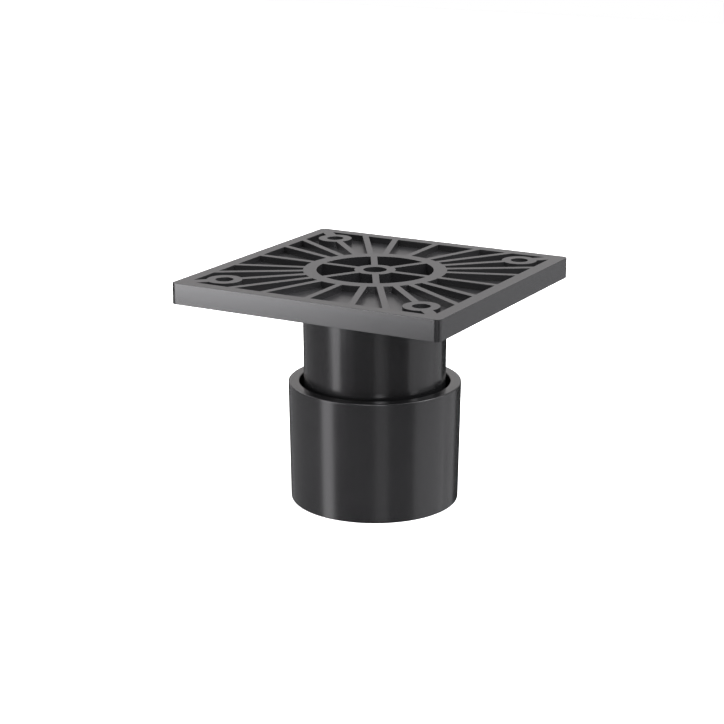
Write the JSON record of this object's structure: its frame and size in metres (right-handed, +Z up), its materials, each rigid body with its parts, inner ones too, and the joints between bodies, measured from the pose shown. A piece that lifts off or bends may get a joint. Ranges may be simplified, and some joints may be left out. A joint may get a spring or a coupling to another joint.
{
  "type": "adjustable cabinet leg",
  "caption": "Plastic cabinet leg with a ribbed square mounting plate, a hollow round stem and a cup foot whose height is set by a threaded spindle.",
  "frame": {"origin": "centre of the foot's base, on the floor", "axes": "+Z up along the leg's axis to the cabinet; X and Y along the edges of the square plate"},
  "size_m": [0.075, 0.075, 0.061],
  "materials": {
    "leg_plastic": "black moulded plastic with a satin surface",
    "foot_plastic": "black moulded plastic with a satin surface",
    "zinc_plated_steel": "bright zinc plated"
  },
  "bodies": {
    "foot": {"foot_cup": "foot_plastic"},
    "spindle": {"spindle": "zinc_plated_steel"},
    "leg": {"plate_and_stem": "leg_plastic", "spindle_nut": "zinc_plated_steel"}
  },
  "joints": [
    {"name": "spindle_turn", "type": "hinge", "parent": "foot", "child": "spindle", "pos_m": [0, 0, 0.003], "axis": [0, 0, -1], "range_deg": [-4608, 1152]},
    {"name": "height_slide", "type": "slide", "parent": "foot", "child": "leg", "axis": [0, 0, 1], "range_m": [-0.016, 0.004]}
  ],
  "couplings": [
    {"joint": "spindle_turn", "follows": "height_slide", "rad_per_m": 5026.5}
  ]
}
